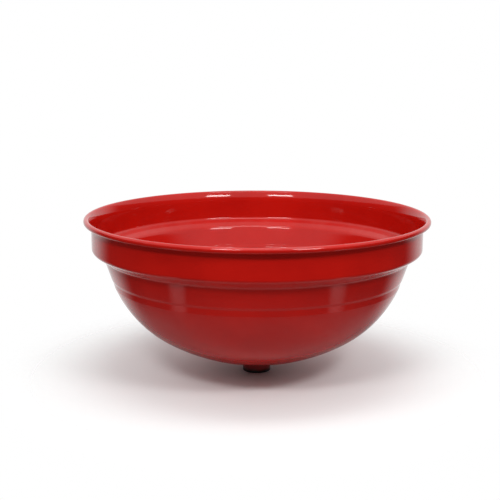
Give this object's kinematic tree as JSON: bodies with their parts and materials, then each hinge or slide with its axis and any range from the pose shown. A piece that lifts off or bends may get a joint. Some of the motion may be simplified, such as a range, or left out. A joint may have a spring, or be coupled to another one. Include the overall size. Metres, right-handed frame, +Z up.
{
  "type": "oil drain pan",
  "caption": "Deep round spun steel catch bowl with a rolled rim, stepped collar, central screwed outlet with plug, and lift-out strainer.",
  "frame": {"origin": "on the bowl's axis, at the flat underside of the lock nut that the bowl stands on", "axes": "+Z up along the bowl's axis, out of its mouth; X and Y are alike, as every piece is turned about Z"},
  "size_m": [0.4404, 0.4404, 0.2063],
  "materials": {
    "red_paint": "gloss red enamel on spun steel sheet",
    "bright_steel": "drawn wire",
    "zinc_steel": "bright zinc plate",
    "black_rubber": "matt moulded rubber",
    "fibre": "vulcanised fibre",
    "black_steel": "satin black",
    "black_plastic": "moulded, half gloss"
  },
  "bodies": {
    "bowl": {"bowl_shell": "red_paint", "rim_wire": "bright_steel", "drain_spigot": "zinc_steel", "flange_gasket": "black_rubber", "clamp_washer": "fibre", "lock_nut": "black_steel"},
    "plug": {"drain_plug": "zinc_steel", "plug_seal": "black_rubber"},
    "strainer": {"strainer_plate": "zinc_steel", "lift_knob": "black_plastic", "knob_screw": "zinc_steel", "knob_washer": "zinc_steel"}
  },
  "joints": [
    {"name": "strainer_lift", "type": "slide", "parent": "bowl", "child": "strainer", "axis": [0, 0, 1], "range_m": [0, 0.22]},
    {"name": "plug_out", "type": "slide", "parent": "bowl", "child": "plug", "axis": [0, 0, -1], "range_m": [0, 0.04]}
  ]
}
